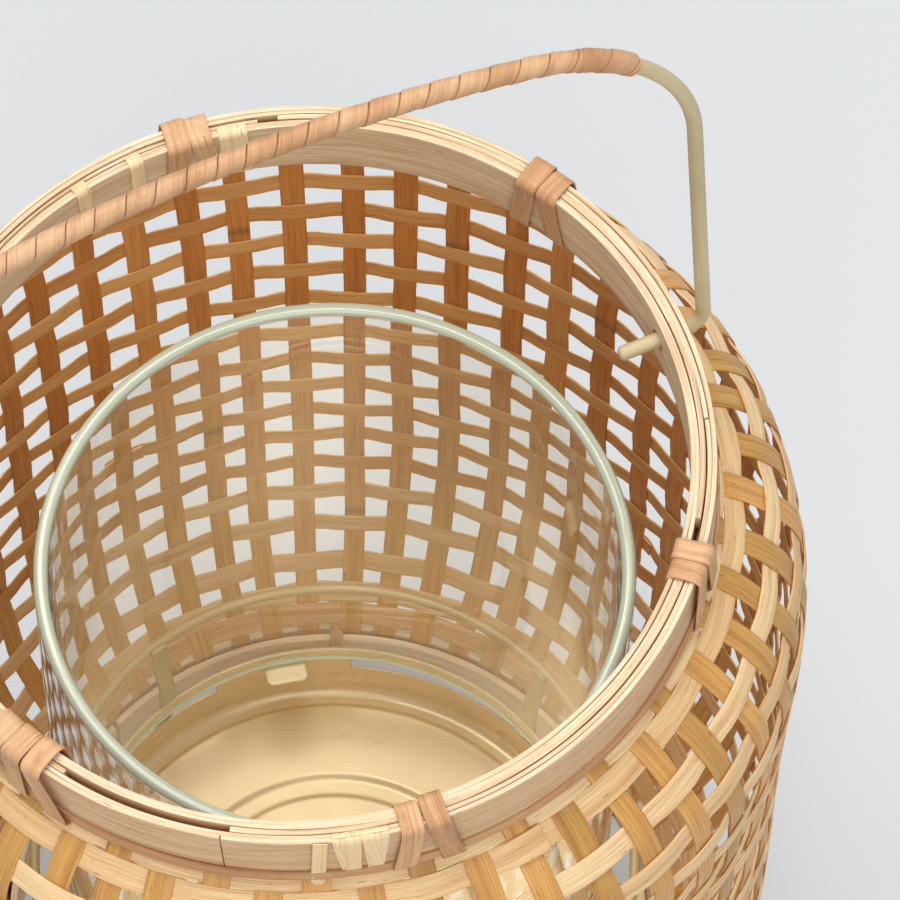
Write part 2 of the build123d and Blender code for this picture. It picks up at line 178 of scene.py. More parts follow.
def wall_outline():
    """Radius and height of the wall's middle, from the foot to the top of the stakes."""
    foot_slot = (FOOT_OUTER + FOOT_INNER) / 2
    rim_slot = (RIM_OUTER + RIM_INNER) / 2
    foot_bend = bend((foot_slot + BEND, FOOT_DEPTH + 0.2), 180, 180 - FOOT_SLOPE)
    rim_bend = bend((rim_slot + BEND, UNDER_RIM), 180 + RIM_SLOPE, 180)
    start = np.radians(FOOT_SLOPE)
    end = np.radians(RIM_SLOPE)
    side = clamped_spline([foot_bend[-1], *WALL_POINTS, rim_bend[0]],
                          (math.sin(start), math.cos(start)), (-math.sin(end), math.cos(end)), 400)
    return np.concatenate([[(foot_slot, 0.8)], foot_bend, side[1:-1], rim_bend,
                           [(rim_slot, STAKE_TOP)]])


outline = wall_outline()
steps_along = np.linalg.norm(np.diff(outline, axis=0), axis=1)
distances = np.concatenate([[0], np.cumsum(steps_along)])
wall_length = distances[-1]
rim_edge = wall_length - (STAKE_TOP - UNDER_RIM)
weaver_places = [rim_edge - TOP_WEAVER_DROP]
for step in WEAVER_STEPS:
    weaver_places.append(weaver_places[-1] - step)
weaver_places.reverse()


def wall(distance, offset=0.0):
    """Radius and height of the wall at distances from its foot, moved outward by offset."""
    distance = np.asarray(distance, float)
    radius = np.interp(distance, distances, outline[:, 0])
    height = np.interp(distance, distances, outline[:, 1])
    reach = 1.5
    rise = (np.interp(distance + reach, distances, outline[:, 1])
            - np.interp(distance - reach, distances, outline[:, 1]))
    spread = (np.interp(distance + reach, distances, outline[:, 0])
              - np.interp(distance - reach, distances, outline[:, 0]))
    size = np.hypot(rise, spread)
    return radius + offset * rise / size, height - offset * spread / size


# Strips

def wander(samples, knots, size):
    """A smooth random line: random heights at even knots, eased between them."""
    heights = chance.uniform(-size, size, knots + 1)
    place = np.linspace(0, knots - 1e-6, samples)
    low = place.astype(int)
    share = place - low
    share = share * share * (3 - 2 * share)
    return heights[low] * (1 - share) + heights[low + 1] * share


def grooves(samples, points, knots, size):
    """Random relief that runs lengthwise: one wandering line for each point of a section."""
    return np.stack([wander(samples, knots, size) for _ in range(points)], -1)


def unit(vectors):
    """The directions of some vectors."""
    return vectors / np.linalg.norm(vectors, axis=-1, keepdims=True)


def along(points, closed=False):
    """Unit directions of travel at the points of a path."""
    if closed:
        return unit(np.roll(points, -1, 0) - np.roll(points, 1, 0))
    return unit(np.gradient(points, axis=0))


def travelled(points):
    """Distance from the start of a path at each of its points."""
    sizes = np.linalg.norm(np.diff(points, axis=0), axis=1)
    return np.concatenate([[0], np.cumsum(sizes)])


def sweep(origins, first, second, sections, outer=None, tone=0.5, wear=0.0, closed=False,
          run=None):
    """A closed solid along a path.

    sections holds, for each step, its points as distances along the first and second
    directions. outer tells the strip's outer side (1) from its inner side (0), tone varies
    from strip to strip, and wear darkens it, as at a bamboo node. run is the length along the
    grain.
    """
    steps, points = sections.shape[:2]
    spots = (origins[:, None] + first[:, None] * sections[..., :1]
             + second[:, None] * sections[..., 1:])
    index = np.arange(steps * points).reshape(steps, points)
    here = index if closed else index[:-1]
    ahead = np.roll(index, -1, 0) if closed else index[1:]
    faces = np.stack([here, np.roll(here, -1, 1), np.roll(ahead, -1, 1), ahead], -1)
    faces = faces.reshape(-1, 4).tolist()
    if not closed:
        faces.append(index[0][::-1].tolist())
        faces.append(index[-1].tolist())
    if run is None:
        run = travelled(spots.mean(1))
    edges = np.linalg.norm(np.diff(sections, axis=1), axis=2)
    across = np.concatenate([np.zeros((steps, 1)), np.cumsum(edges, 1)], 1)
    seed = chance.uniform(0, 100)
    grain = np.stack([np.broadcast_to(run[:, None], (steps, points)), across,
                      np.full((steps, points), seed / MM)], -1) * MM
    outer = np.ones(points) if outer is None else outer
    look = np.stack([np.broadcast_to(outer, (steps, points)),
                     np.full((steps, points), tone),
                     np.broadcast_to(np.asarray(wear, float).reshape(-1, 1), (steps, points))],
                    -1)
    return {"spots": spots.reshape(-1, 3), "faces": faces, "grain": grain.reshape(-1, 3),
            "look": look.reshape(-1, 3)}


def placed(name, data):
    """A new object in the scene."""
    made = bpy.data.objects.new(name, data)
    bpy.context.scene.collection.objects.link(made)
    return made


def piece(name, parts, material, body, replaced=()):
    """One Blender object from swept parts, riding on a body."""
    faces, start = [], 0
    for part in parts:
        faces += [[i + start for i in face] for face in part["faces"]]
        start += len(part["spots"])
    mesh = bpy.data.meshes.new(name)
    mesh.from_pydata((np.concatenate([p["spots"] for p in parts]) * MM).tolist(), [], faces)
    for label in ("grain", "look"):
        values = np.concatenate([p[label] for p in parts]).astype(np.float32)
        mesh.attributes.new(label, "FLOAT_VECTOR", "POINT").data.foreach_set(
            "vector", values.ravel())
    mesh.materials.append(material)
    solid = bmesh.new()
    solid.from_mesh(mesh)
    bmesh.ops.recalc_face_normals(solid, faces=solid.faces)
    solid.to_mesh(mesh)
    solid.free()
    mesh.shade_smooth()
    mesh.update()
    made = placed(name, mesh)
    modifier = made.modifiers.new("sharp ends", "EDGE_SPLIT")
    modifier.split_angle = math.radians(50)
    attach(made, body)
    if replaced:
        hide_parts(*replaced)
    return made


def drill_pivots(made):
    """Cut the holes that the ends of the bail turn in out of a piece of the rim."""
    pivot, axis, _, _ = bail_frame()
    cylinder = bmesh.new()
    bmesh.ops.create_cone(cylinder, cap_ends=True, segments=32, radius1=PIVOT_HOLE * MM,
                          radius2=PIVOT_HOLE * MM, depth=2.4 * RIM_OUTER * MM)
    turn = Vector((0, 0, 1)).rotation_difference(Vector(axis)).to_matrix().to_4x4()
    cylinder.transform(Matrix.Translation(Vector(pivot * MM)) @ turn)
    mesh = bpy.data.meshes.new("drill")
    cylinder.to_mesh(mesh)
    cylinder.free()
    drill = placed("drill", mesh)
    cut = made.modifiers.new("pivot holes", "BOOLEAN")
    cut.operation = "DIFFERENCE"
    cut.solver = "MANIFOLD"
    cut.object = drill
    made.modifiers.move(1, 0)
    made.modifiers["sharp ends"].show_viewport = False
    drilled = made.evaluated_get(bpy.context.evaluated_depsgraph_get())
    made.data = bpy.data.meshes.new_from_object(drilled)
    made.modifiers.remove(cut)
    made.modifiers["sharp ends"].show_viewport = True
    bpy.data.objects.remove(drill)


def strip_sections(steps, width, thickness, rough=0.03, knots=12, ragged=0.12):
    """Sections of a flat strip: its inner side, an edge, its outer side and the other edge."""
    half = np.asarray(width) / 2 + wander(steps, max(2, knots // 2), ragged)
    shares = np.array([-1, -0.93, -0.62, -0.3, 0, 0.3, 0.62, 0.93, 1])
    across = np.concatenate([shares, shares[::-1]])
    through = np.concatenate([[-0.25], -np.ones(7) / 2, [-0.25], [0.25], np.ones(7) / 2, [0.25]])
    sections = np.empty((steps, len(across), 2))
    sections[..., 0] = half[:, None] * across
    sections[..., 1] = through * thickness + grooves(steps, len(across), knots, rough)
    return sections


SIDES = np.concatenate([np.zeros(9), np.ones(9)])  # which points of a strip are on its outer side


# Woven wall

stake_shifts = chance.normal(0, 0.35, STAKE_COUNT)


def stake_azimuth(stake, distance):
    """Azimuth of a stake's middle, which turns a little towards the foot."""
    share = 1 - np.asarray(distance) / wall_length
    middle = STAKE_START + stake * STAKE_PITCH + stake_shifts[stake % STAKE_COUNT]
    return middle + STAKE_TWIST * (share - 0.5)


def outside(stake, weaver):
    """1 where the stake passes outside the weaver, and -1 where it passes inside it."""
    return 1 if (stake + weaver) % 2 == 0 else -1


def woven_stake(stake):
    """One stake, straight at the foot and the rim, and out and in over the weavers between."""
    steps = 330
    straight_foot = 12
    distance = np.linspace(0, wall_length, steps)
    knots, heights = [0, straight_foot], [0, 0]
    for number, place in enumerate(weaver_places, start=1):
        crowded = number < 3 or number > len(weaver_places) - 2
        flat = 1.3 if crowded else 2.6
        knots += [place - flat, place + flat]
        heights += [outside(stake, number) * STAKE_WAVE + WEAVE_MIDDLE] * 2
    knots = np.array(knots + [rim_edge + 2, wall_length])
    heights = np.array(heights + [0, 0])
    i = np.clip(np.searchsorted(knots, distance) - 1, 0, len(knots) - 2)
    share = (distance - knots[i]) / (knots[i + 1] - knots[i])
    share = (1 - np.cos(np.pi * share)) / 2
    offset = heights[i] * (1 - share) + heights[i + 1] * share
    radius, height = wall(distance, offset)
    azimuth = stake_azimuth(stake, distance) + wander(steps, 6, 0.25)
    path = leaned(radius, azimuth, height)
    travel = along(path)
    turn = np.radians(azimuth)
    sideways = np.stack([-np.sin(turn), np.cos(turn), np.zeros(steps)], -1)
    outward = unit(np.cross(sideways, travel))
    width = STAKE_WIDTH * (1 + chance.uniform(-0.06, 0.06))
    # A bamboo node, a thicker and darker line; past the end of the stake in most of them
    node, node_reach, node_swell = chance.uniform(40, 900), 1.6, 0.5
    wear = np.exp(-((distance - node) / node_reach) ** 2)
    sections = strip_sections(steps, width, STAKE_THICKNESS, 0.035, 14, 0.1)
    sections[..., 1] *= 1 + node_swell * wear[:, None]
    return sweep(path, np.cross(travel, outward), outward, sections, SIDES,
                 chance.uniform(0, 1), wear)


def woven_ring(number, distance, width):
    """A weaver: in and out between the stakes, with its ends lapped."""
    start = 2 * int(chance.integers(0, STAKE_COUNT // 2)) + (number + 1) % 2
    steps = (STAKE_COUNT + 1) * 16 + 1
    # Place round the ring, counted in stakes, with both ends in gaps beside the same stake
    turns = np.linspace(start - 0.46, start + STAKE_COUNT + 0.44, steps)
    stakes = np.arange(start - 2, start + STAKE_COUNT + 3)
    places = np.array([stake_azimuth(k, distance) for k in stakes])
    azimuth = np.interp(turns, stakes, places)
    squareness = 1.7
    wave = np.tanh(squareness * np.cos(np.pi * turns)) / math.tanh(squareness) * (-1) ** number
    lap_length, lap_rise = 1.2, 0.35
    lap = np.clip((turns - turns[-1] + lap_length) / lap_rise, 0, 1)
    offset = WEAVE_MIDDLE - WEAVER_WAVE * wave + lap * (WEAVER_THICKNESS + 0.1)
    drift = wander(steps, 16, 0.3) * np.clip((rim_edge - 8 - distance) / 10, 0, 1)
    base = level(wall(distance)[1])[0][2]
    path = on_level(wall(distance + drift, offset), azimuth, base)
    below = on_level(wall(distance + drift - 2, offset), azimuth, base)
    above = on_level(wall(distance + drift + 2, offset), azimuth, base)
    upward = unit(above - below)
    travel = along(path)
    outward = unit(np.cross(travel, upward))
    upward = np.cross(outward, travel)
    sections = strip_sections(steps, width, WEAVER_THICKNESS, 0.05, 90, 0.22)
    return sweep(path, upward, outward, sections, SIDES, chance.uniform(0, 1))


def on_level(radius_height, azimuth, base):
    """Points given by radius and height, measured along the axis of one level."""
    radius, height = radius_height
    return leaned(radius, azimuth, np.full(len(azimuth), base), height - base)


# Rings of the rim and the foot

def ring(base, inner, outer, low, high, start, end, relief=0.12, top_points=5, face_points=9,
         wobble=0.25):
    """A hoop of split bamboo between two azimuths, with a fibrous top and lengthwise relief."""
    steps = max(24, int((end - start) * 2))
    azimuth = np.linspace(start, end, steps)
    turn = np.radians(azimuth)
    origin, sideways, upward = level(base)
    out = sideways * np.cos(turn)[:, None] + np.array([0, 1, 0]) * np.sin(turn)[:, None]
    up = np.broadcast_to(upward, out.shape)
    knots = max(3, int((end - start) / 9))
    climb = np.linspace(0.02, 0.98, face_points)
    cross = np.linspace(0.06, 0.94, top_points)
    face = np.ones(face_points)
    chamfer = 0.2
    radii = np.concatenate([inner * face, inner + (outer - inner) * cross, outer * face,
                            [outer - chamfer, inner + chamfer]])
    heights = np.concatenate([low + (high - low) * climb, np.full(top_points, high),
                              low + (high - low) * climb[::-1], [low, low]])
    sections = np.empty((steps, len(radii), 2))
    sections[..., 0] = radii
    sections[..., 1] = heights
    sections[:, :face_points, 0] += grooves(steps, face_points, knots, relief * 0.35)
    top = slice(face_points, face_points + top_points)
    sections[:, top, 1] += grooves(steps, top_points, knots, relief)
    sections[:, top, 0] += grooves(steps, top_points, knots, relief * 0.3)
    outer_face = slice(face_points + top_points, 2 * face_points + top_points)
    sections[:, outer_face, 0] += grooves(steps, face_points, knots, relief * 0.35)
    sections[..., 0] += wander(steps, max(3, knots // 4), wobble)[:, None]
    sections[..., 1] += wander(steps, max(3, knots // 4), wobble * 0.6)[:, None]
    outer_side = np.concatenate([np.zeros(face_points), np.full(top_points, 0.5),
                                 np.ones(face_points), [0.5, 0.5]])
    origins = np.broadcast_to(origin, out.shape)
    run = np.radians(azimuth) * (inner + outer) / 2
    return sweep(origins, out, up, sections, outer_side, chance.uniform(0, 1), run=run)


def rounded_loop(low, high, corner, samples):
    """Points round a rectangle with rounded corners, evenly spaced, from the middle of its top."""
    right, left = high[0] - corner, low[0] + corner
    top, bottom = high[1] - corner, low[1] + corner
    points = [np.array([(low[0] + high[0]) / 2, high[1]])]
    for x, y, first in ((right, top, 90), (right, bottom, 0), (left, bottom, -90),
                        (left, top, -180)):
        turn = np.radians(np.linspace(first, first - 90, 10))
        points += list(np.stack([x + corner * np.cos(turn), y + corner * np.sin(turn)], -1))
    points = np.array(points + [points[0]])
    run = travelled(points)
    even = np.linspace(0, run[-1], samples + 1)[:-1]
    return np.stack([np.interp(even, run, points[:, i]) for i in range(2)], -1), even / run[-1]


def tie_loop(base, low, high, top_azimuth, low_azimuth, width, thickness=0.75):
    """A flat strip once round a pair of hoops, with its top and its bottom at two azimuths."""
    samples = 120
    closing = 12  # points at the end over which the strip comes back to its start
    corner = 2.1
    loop, share = rounded_loop(low, high, corner, samples)
    loop = np.roll(loop, samples // 2, axis=0)
    slide = (1 + np.cos(2 * np.pi * share)) / 2
    azimuth = top_azimuth + (low_azimuth - top_azimuth) * slide + wander(samples, 5, 0.12)
    azimuth[-closing:] += (azimuth[0] - azimuth[-1]) * np.linspace(0, 1, closing)
    bases = np.full(samples, base)
    path = leaned(loop[:, 0], azimuth, bases, loop[:, 1])
    travel = along(path, closed=True)
    sideways = leaned(loop[:, 0], azimuth + 1, bases, loop[:, 1]) - path
    outward = unit(np.cross(travel, sideways))
    middle = (np.array(low) + np.array(high)) / 2
    centre = leaned(np.full(samples, middle[0]), azimuth, bases, np.full(samples, middle[1]))
    outward *= np.sign(((path - centre) * outward).sum(1))[:, None]
    across = unit(np.cross(outward, travel))
    sections = strip_sections(samples, width, thickness, 0.05, 10, 0.15)
    sections[-closing:] += ((sections[0] - sections[-1])
                            * np.linspace(0, 1, closing)[:, None, None])
    return sweep(path, across, outward, sections, SIDES, chance.uniform(0, 1), closed=True,
                 run=travelled(path))


def gap_azimuth(gap):
    """Azimuth of the middle of a gap between two stakes, halfway up them."""
    return STAKE_START + (gap + 0.5) * STAKE_PITCH


# Bail grip

def bail_frame():
    """Origin, across, up and forward directions of the bail's plane."""
    origin, sideways, upward = level(RIM_HEIGHT)
    back = math.radians(PIVOT_AZIMUTH + 90)
    pivot = math.radians(PIVOT_AZIMUTH)
    across = sideways * math.cos(pivot) + np.array([0, 1, 0]) * math.sin(pivot)
    backward = sideways * math.cos(back) + np.array([0, 1, 0]) * math.sin(back)
    lean = math.radians(BAIL_LEAN)
    up = upward * math.cos(lean) + backward * math.sin(lean)
    return origin - upward * PIVOT_DROP, across, up, np.cross(across, up)


def bail_top():
    """Radius of the bail's top arc, and the angle at which it runs into the corners."""
    across, rise = CORNER_CENTRE[0], BAIL_CREST - CORNER_CENTRE[1]
    radius = (across**2 + rise**2 - CORNER_RADIUS**2) / (2 * (rise - CORNER_RADIUS))
    return radius, math.asin(across / (radius - CORNER_RADIUS))


def bail_path(start, end, spacing):
    """Points of the top of the bail between two lengths from its crest, and its directions."""
    radius, corner_turn = bail_top()
    corner_start = radius * corner_turn
    length = np.linspace(start, end, max(2, int((end - start) / spacing)))
    size = np.abs(length)
    on_top = size <= corner_start
    turn = np.where(on_top, size / radius, corner_turn + (size - corner_start) / CORNER_RADIUS)
    x = np.where(on_top, radius * np.sin(turn), CORNER_CENTRE[0] + CORNER_RADIUS * np.sin(turn))
    y = np.where(on_top, BAIL_CREST - radius * (1 - np.cos(turn)),
                 CORNER_CENTRE[1] + CORNER_RADIUS * np.cos(turn))
    side = np.sign(length)
    return (np.stack([x * side, y], -1), np.stack([np.sin(turn) * side, np.cos(turn)], -1),
            length)


def corner_length(angle):
    """Length from the crest to an angle round the corner, from the leg."""
    radius, corner_turn = bail_top()
    return (radius - CORNER_RADIUS) * corner_turn + CORNER_RADIUS * math.radians(90 - angle)


def winding(start, end, radius, pitch, lip_height):
    """A strip wound round the wire, each turn with its raised edge over the one before.

    Each row of points goes once round the wire, and starts at the strip's raised edge.
    """
    flat, normal, length = bail_path(start, end, pitch / 36)
    origin, across, up, forward = bail_frame()
    path = origin + flat[:, :1] * across + flat[:, 1:] * up
    first = unit(normal[:, :1] * across + normal[:, 1:] * up)
    second = np.broadcast_to(forward, first.shape)
    rows = len(length)
    lip = 0.045  # share of the strip's width in which it rises over the last turn
    share = np.concatenate([[0, 0.02, lip], np.linspace(0.08, 0.97, 36), [0.992]])
    drift = wander(rows, max(3, int((end - start) / 4)), 0.24)
    turn = 2 * np.pi * (share - (length + drift)[:, None] / pitch)
    size = radius + lip_height * (np.clip(share / lip, 0, 1) * (1 - 0.55 * share) - 0.5)
    size = size + grooves(rows, len(share), max(3, int((end - start) / 2)), 0.025)
    sections = np.stack([size * np.cos(turn), size * np.sin(turn)], -1)
    made = sweep(path, first, second, sections)
    made["grain"][:, 0] = (-turn * radius).ravel() * MM
    made["grain"][:, 1] = np.tile(share * pitch, rows) * MM
    tones = 0.5 + wander(rows, max(3, int((end - start) / pitch)), 0.5)
    made["look"][:, 1] = np.repeat(tones, len(share))
    # Painted shade: each turn darkens towards its edges, a dark line in the seam where it meets
    # the next turn
    made["look"][:, 2] = np.tile(np.exp(-(np.minimum(share, 1 - share) / 0.03) ** 2), rows)
    return made


# Materials

def linear(red, green, blue):
    """A colour given from 0 to 255, as the shaders take it."""
    return tuple((c / 255 / 12.92 if c <= 10 else ((c / 255 + 0.055) / 1.055) ** 2.4)
                 for c in (red, green, blue)) + (1.0,)


class Shader:
    """A material with a Principled shader, and short ways to add nodes to it."""

    def __init__(self, name, **sockets):
        self.material = bpy.data.materials.new(name)
        self.material.use_nodes = True
        self.tree = self.material.node_tree
        self.surface = self.tree.nodes["Principled BSDF"]
        for label, value in sockets.items():
            self.surface.inputs[label.replace("_", " ")].default_value = value

    def add(self, kind, sockets=None, **settings):
        made = self.tree.nodes.new(kind)
        for label, value in settings.items():
            setattr(made, label, value)
        for label, value in (sockets or {}).items():
            if isinstance(value, bpy.types.NodeSocket):
                self.tree.links.new(value, made.inputs[label])
            else:
                made.inputs[label].default_value = value
        return made

    def link(self, output, label):
        self.tree.links.new(output, self.surface.inputs[label])

    def attribute(self, name):
        return self.add("ShaderNodeAttribute", attribute_name=name).outputs["Vector"]

    def part(self, vector, axis):
        return self.add("ShaderNodeSeparateXYZ", {"Vector": vector}).outputs[axis]

    def stretched(self, vector, scales):
        made = self.add("ShaderNodeVectorMath", {0: vector, 1: scales}, operation="MULTIPLY")
        return made.outputs[0]

    def noise(self, vector, scale=1.0, detail=3.0, roughness=0.5):
        made = self.add("ShaderNodeTexNoise", {"Vector": vector, "Scale": scale, "Detail": detail,
                                               "Roughness": roughness})
        return made.outputs["Fac"]

    def spread(self, value, low, high, to_low=0.0, to_high=1.0):
        made = self.add("ShaderNodeMapRange", {"Value": value, "From Min": low, "From Max": high,
                                               "To Min": to_low, "To Max": to_high})
        return made.outputs["Result"]

    def mix(self, share, first, second, blend="MIX"):
        made = self.add("ShaderNodeMix", data_type="RGBA", blend_type=blend)
        colours = [socket for socket in made.inputs if socket.type == "RGBA"]
        for socket, value in zip([made.inputs["Factor"], *colours], (share, first, second)):
            if isinstance(value, bpy.types.NodeSocket):
                self.tree.links.new(value, socket)
            else:
                socket.default_value = value
        return next(socket for socket in made.outputs if socket.type == "RGBA")

    def bump(self, height, strength, distance):
        made = self.add("ShaderNodeBump", {"Height": height, "Strength": strength,
                                           "Distance": distance})
        self.link(made.outputs[0], "Normal")


SPECK = linear(130, 82, 40)
STAIN = linear(164, 100, 64)
# Colour of wear at bamboo nodes, and of painted shade in the seams of the grip's winding
WEAR_AND_SHADE_TONE = linear(120, 70, 30)


def grained(name, outside_light, outside_dark, inside_pale_as_lit, inside_dark_as_lit, fibre, gloss=0.5,
            fibre_share=0.45, lines=2600.0, edge=None, foot=None, stain=0.0):
    """Split bamboo or rattan: fine lines along the strip, and a tone of its own for each strip.

    It reads two attributes of its points. grain is the distance along and across the strip,
    and a number for the strip. look is the side, the strip's tone, and how much it is darkened:
    wear at bamboo nodes and painted shade in the seams of the grip's winding. Inner and outer
    sides get colours of their own; in the stakes, weavers and foot hoops the inner side's colours
    are painted light and shade.
    """
    shader = Shader(name, Specular_IOR_Level=0.35)
    grain = shader.attribute("grain")
    look = shader.attribute("look")
    side, tone, wear = (shader.part(look, axis) for axis in "XYZ")
    fine = shader.noise(shader.stretched(grain, (55.0, lines, 1.0)), detail=4.0)
    broad = shader.noise(shader.stretched(grain, (14.0, 420.0, 1.0)), detail=2.0)
    cloud = shader.noise(shader.stretched(grain, (9.0, 60.0, 1.0)), detail=2.0)
    drift = shader.spread(cloud, 0.25, 0.75, -0.35, 0.35)
    choice = shader.add("ShaderNodeMath", {0: tone, 1: drift}, operation="ADD",
                        use_clamp=True).outputs[0]
    outer = shader.mix(choice, outside_light, outside_dark)
    # The inner side's colours hold painted light and shade, set apart from the outer side's
    inner = shader.mix(choice, inside_pale_as_lit, inside_dark_as_lit)
    if foot:  # painted light: the inside is painted paler towards the foot, as lit from above
        low = shader.spread(shader.part(grain, "X"), 0.06, 0.15, 0.75, 0.0)
        inner = shader.mix(low, inner, foot)
    colour = shader.mix(side, inner, outer)
    if edge:  # a side of one half is the edge
        middle = shader.add("ShaderNodeMath", {0: side, 1: 0.5, 2: 0.3}, operation="COMPARE")
        colour = shader.mix(middle.outputs[0], colour, edge)
    streaks = shader.spread(fine, 0.42, 0.7, 0.0, fibre_share)
    colour = shader.mix(streaks, colour, fibre, "MULTIPLY")
    bands = shader.spread(broad, 0.45, 0.75, 0.0, fibre_share * 0.8)
    colour = shader.mix(bands, colour, fibre, "MULTIPLY")
    speck = shader.noise(shader.stretched(grain, (260.0, 1500.0, 1.0)), detail=1.0)
    colour = shader.mix(shader.spread(speck, 0.7, 0.78, 0.0, 0.55), colour, SPECK)
    if stain:
        mottle = shader.noise(shader.stretched(grain, (170.0, 260.0, 1.0)), detail=4.0)
        colour = shader.mix(shader.spread(mottle, 0.54, 0.7, 0.0, stain), colour, STAIN)
    # Wear at bamboo nodes, and painted shade in the seams of the grip's winding
    wear_and_shade_share = shader.add("ShaderNodeMath", {0: wear, 1: 0.6}, operation="MULTIPLY").outputs[0]
    colour = shader.mix(wear_and_shade_share, colour, WEAR_AND_SHADE_TONE)
    shader.link(colour, "Base Color")
    shader.link(shader.spread(fine, 0.3, 0.7, gloss - 0.08, gloss + 0.12), "Roughness")
    shader.bump(fine, 0.35, 0.0002)
    return shader.material


# Painted shade: the inner sides of the stakes and weavers are deeper orange-brown than the outer
# sides, as in the shade under the rim; the stakes' foot colour is painted light from above.
stake_bamboo = grained(
    "stake bamboo", linear(220, 168, 96), linear(190, 148, 80), linear(216, 150, 78),
    linear(196, 122, 50), linear(190, 135, 80), gloss=0.42, fibre_share=0.5,
    foot=linear(224, 178, 104))
weaver_bamboo = grained(
    "weaver bamboo", linear(239, 212, 166), linear(227, 191, 138), linear(226, 174, 108),
    linear(210, 150, 84), linear(205, 158, 110), gloss=0.5, fibre_share=0.5)
# Painted light: the lowest weavers' inner sides are paler, as lit from above.
low_weaver_bamboo = grained(
    "low weaver bamboo", linear(240, 214, 170), linear(228, 196, 148), linear(240, 204, 154),
    linear(230, 188, 136), linear(205, 158, 110), gloss=0.5, fibre_share=0.5)
hoop_bamboo = grained(
    "hoop bamboo", linear(222, 190, 152), linear(210, 176, 138), linear(230, 205, 170),
    linear(220, 192, 154), linear(205, 165, 120), gloss=0.55, fibre_share=0.5, lines=1800.0,
    edge=linear(226, 206, 174))
# Painted light: the foot hoops' inner side and top are painted very pale, as lit, where they lie
# in shade inside the basket.
foot_bamboo = grained(
    "foot bamboo", linear(226, 194, 156), linear(214, 180, 142), linear(250, 232, 204),
    linear(240, 216, 184), linear(214, 172, 128), gloss=0.55, fibre_share=0.45, lines=1800.0,
    edge=linear(250, 234, 206))
rattan = grained(
    "rattan", linear(216, 174, 130), linear(194, 148, 104), linear(196, 146, 100),
    linear(182, 130, 86), linear(176, 128, 90), gloss=0.45, fibre_share=0.4, lines=2000.0,
    stain=0.35)
grip_rattan = grained(
    "grip rattan", linear(206, 168, 128), linear(184, 138, 96), linear(204, 150, 106),
    linear(200, 140, 100), linear(196, 148, 112), gloss=0.45, fibre_share=0.32, lines=1600.0,
    stain=0.4)
raffia = grained(
    "raffia", linear(240, 218, 176), linear(232, 204, 158), linear(230, 200, 150),
    linear(220, 190, 140), linear(220, 180, 130), gloss=0.5, fibre_share=0.4)


def painted(name, colour, shade, roughness, metallic):
    """Paint on metal, faintly uneven, with edges that shine as if rounded."""
    shader = Shader(name, Metallic=metallic, Specular_IOR_Level=0.5)
    place = shader.add("ShaderNodeTexCoord").outputs["Object"]
    patches = shader.noise(place, 35.0, 3.0)
    shader.link(shader.mix(shader.spread(patches, 0.35, 0.7), colour, shade), "Base Color")
    shader.link(shader.spread(patches, 0.3, 0.7, roughness - 0.04, roughness + 0.05),
                "Roughness")
    rounded = shader.add("ShaderNodeBevel", {"Radius": 0.0011}, samples=4)
    shader.link(rounded.outputs[0], "Normal")
    return shader.material


pan_paint = painted("pan paint", linear(240, 216, 172), linear(233, 208, 163), 0.3, 0.35)
ring_paint = painted("ring paint", linear(206, 182, 132), linear(196, 170, 120), 0.4, 0.2)
wire_paint = painted("wire paint", linear(196, 180, 140), linear(182, 165, 126), 0.42, 0.0)
nail_steel = painted("nail steel", linear(150, 148, 142), linear(120, 116, 110), 0.4, 0.9)


def clear_glass():
    """Clear glass, faintly green, that lets the lamps' light through."""
    shader = Shader("clear glass", Roughness=0.0, IOR=1.5, Transmission_Weight=1.0,
                    Base_Color=linear(253, 254, 251))
    clear = shader.add("ShaderNodeBsdfTransparent", {"Color": linear(251, 254, 250)})
    path = shader.add("ShaderNodeLightPath").outputs["Is Shadow Ray"]
    both = shader.add("ShaderNodeMixShader", {0: path, 1: shader.surface.outputs[0],
                                              2: clear.outputs[0]})
    output = shader.tree.nodes["Material Output"]
    shader.tree.links.new(both.outputs[0], output.inputs["Surface"])
    return shader.material


def glass_edge():
    """The rounded ends of the tube, painted pale green and part opaque: painted light for the
    light they gather.
    """
    shader = Shader("glass edge", Roughness=0.1, IOR=1.5, Transmission_Weight=0.4,
                    Base_Color=linear(226, 234, 208))
    place = shader.add("ShaderNodeTexCoord").outputs["Object"]
    shader.bump(shader.noise(place, 160.0, 2.0), 0.1, 0.0002)
    return shader.material


# The pieces

def basket_weave():
    """The stakes, every other one in a piece, and the weavers."""
    for first, label in ((0, "even"), (1, "odd")):
        stakes = [woven_stake(k) for k in range(first, STAKE_COUNT, 2)]
        piece(f"woven_stakes_{label}", stakes, stake_bamboo, "basket",
              (f"stakes_{label}",))
    for number, distance in enumerate(weaver_places, start=1):
        width = TOP_WEAVER_WIDTH if number == len(weaver_places) else WEAVER_WIDTH
        material = low_weaver_bamboo if number <= PALE_WEAVERS else weaver_bamboo
        piece(f"woven_weaver_{number:02d}", [woven_ring(number, distance, width)], material,
              "basket", (f"weaver_{number:02d}",))


def rim_hoop(inner, tops, starts):
    """The two layers of a rim hoop, each with its butted ends at its own azimuth."""
    layer = (RIM_HOOP - LAYER_GAP) / 2
    return [ring(RIM_HEIGHT, radius, radius + layer, -RIM_DEPTH, top, start, start + 359.8)
            for radius, top, start in zip((inner, inner + layer + LAYER_GAP), tops, starts)]


